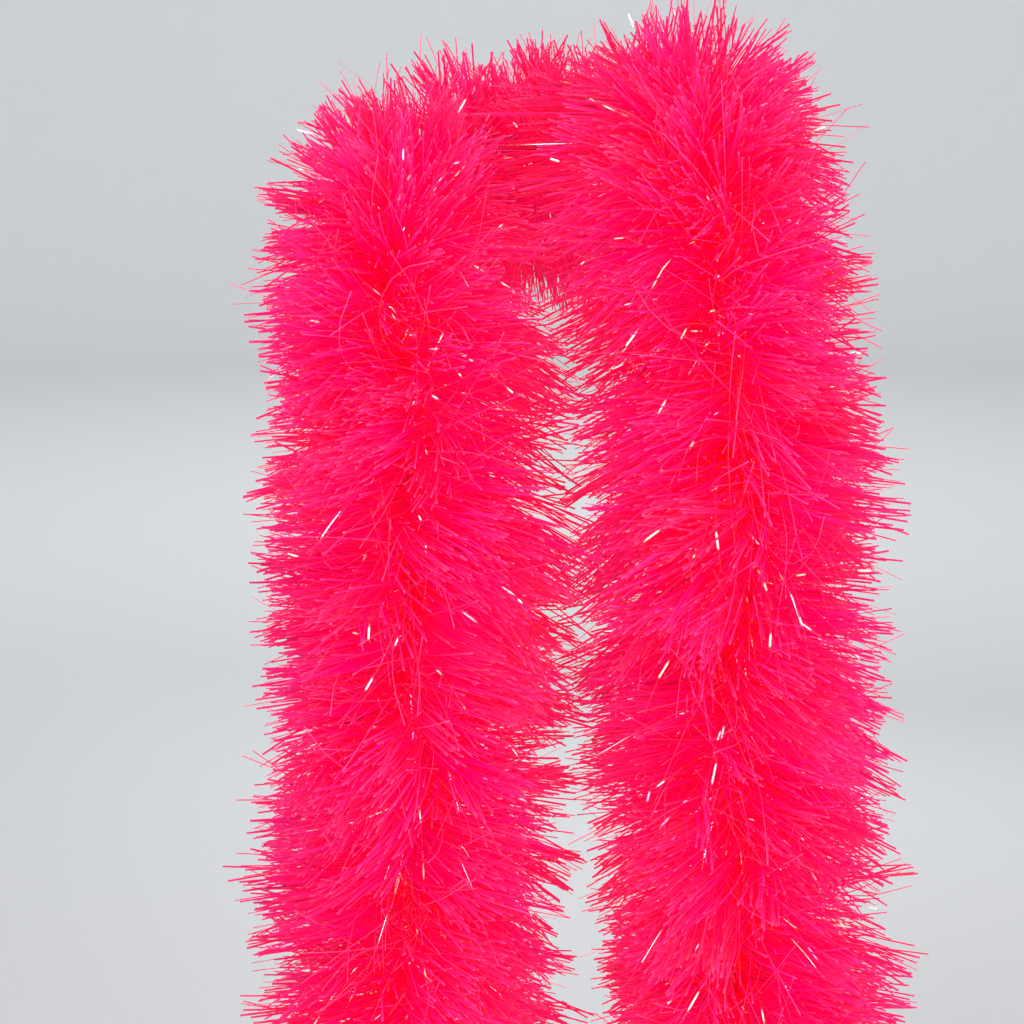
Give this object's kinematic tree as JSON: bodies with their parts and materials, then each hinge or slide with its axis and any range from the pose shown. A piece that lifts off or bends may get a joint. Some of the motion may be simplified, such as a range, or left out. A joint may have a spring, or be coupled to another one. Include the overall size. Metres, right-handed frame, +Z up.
{
  "type": "filament boa",
  "caption": "Deep-pile filament boa hung round a neck, both tails in front, with a twisted cord core and spiral tufts of cut fluorescent strands.",
  "frame": {"origin": "on the neck's vertical axis, level with the core cord behind the neck", "axes": "+Z up; the wearer faces -Y and the tails hang in front of the neck; +X is the right-hand side seen from the front"},
  "size_m": [0.3057, 0.3367, 0.8187],
  "materials": {
    "filament": "fluorescent glossy cut filament",
    "core_cord": "twisted matte cord",
    "iridescent_film": "clear iridescent film strip",
    "whipping_thread": "bound thread"
  },
  "bodies": {
    "collar": {"core_collar": "core_cord", "pile_left_shoulder": "filament", "film_left_shoulder": "iridescent_film", "pile_nape": "filament", "film_nape": "iridescent_film", "pile_right_shoulder": "filament", "film_right_shoulder": "iridescent_film"},
    "left_section_1": {"core_left_1": "core_cord", "pile_left_1": "filament", "film_left_1": "iridescent_film"},
    "left_section_2": {"core_left_2": "core_cord", "pile_left_2": "filament", "film_left_2": "iridescent_film"},
    "left_section_3": {"core_left_3": "core_cord", "pile_left_3": "filament", "film_left_3": "iridescent_film"},
    "left_section_4": {"core_left_4": "core_cord", "pile_left_4": "filament", "film_left_4": "iridescent_film", "end_whipping_left": "whipping_thread"},
    "right_section_1": {"core_right_1": "core_cord", "pile_right_1": "filament", "film_right_1": "iridescent_film"},
    "right_section_2": {"core_right_2": "core_cord", "pile_right_2": "filament", "film_right_2": "iridescent_film"},
    "right_section_3": {"core_right_3": "core_cord", "pile_right_3": "filament", "film_right_3": "iridescent_film"},
    "right_section_4": {"core_right_4": "core_cord", "pile_right_4": "filament", "film_right_4": "iridescent_film", "end_whipping_right": "whipping_thread"}
  },
  "joints": [
    {"name": "left_swing", "type": "hinge", "parent": "collar", "child": "left_section_1", "pos_m": [-0.076, -0.11, -0.15], "axis": [-1, 0, 0], "range_deg": [-10, 45]},
    {"name": "left_spread", "type": "hinge", "parent": "left_section_1", "child": "left_section_2", "pos_m": [-0.076, -0.11, -0.29512], "axis": [0, 1, 0], "range_deg": [0, 35]},
    {"name": "left_curl", "type": "hinge", "parent": "left_section_2", "child": "left_section_3", "pos_m": [-0.076, -0.11, -0.44023], "axis": [-1, 0, 0], "range_deg": [-40, 45]},
    {"name": "left_tip_spread", "type": "hinge", "parent": "left_section_3", "child": "left_section_4", "pos_m": [-0.076, -0.11, -0.58535], "axis": [0, 1, 0], "range_deg": [0, 35]},
    {"name": "right_swing", "type": "hinge", "parent": "collar", "child": "right_section_1", "pos_m": [0.076, -0.11, -0.15], "axis": [-1, 0, 0], "range_deg": [-10, 45]},
    {"name": "right_spread", "type": "hinge", "parent": "right_section_1", "child": "right_section_2", "pos_m": [0.076, -0.11, -0.29512], "axis": [0, -1, 0], "range_deg": [0, 35]},
    {"name": "right_curl", "type": "hinge", "parent": "right_section_2", "child": "right_section_3", "pos_m": [0.076, -0.11, -0.44023], "axis": [-1, 0, 0], "range_deg": [-40, 45]},
    {"name": "right_tip_spread", "type": "hinge", "parent": "right_section_3", "child": "right_section_4", "pos_m": [0.076, -0.11, -0.58535], "axis": [0, -1, 0], "range_deg": [0, 35]}
  ]
}
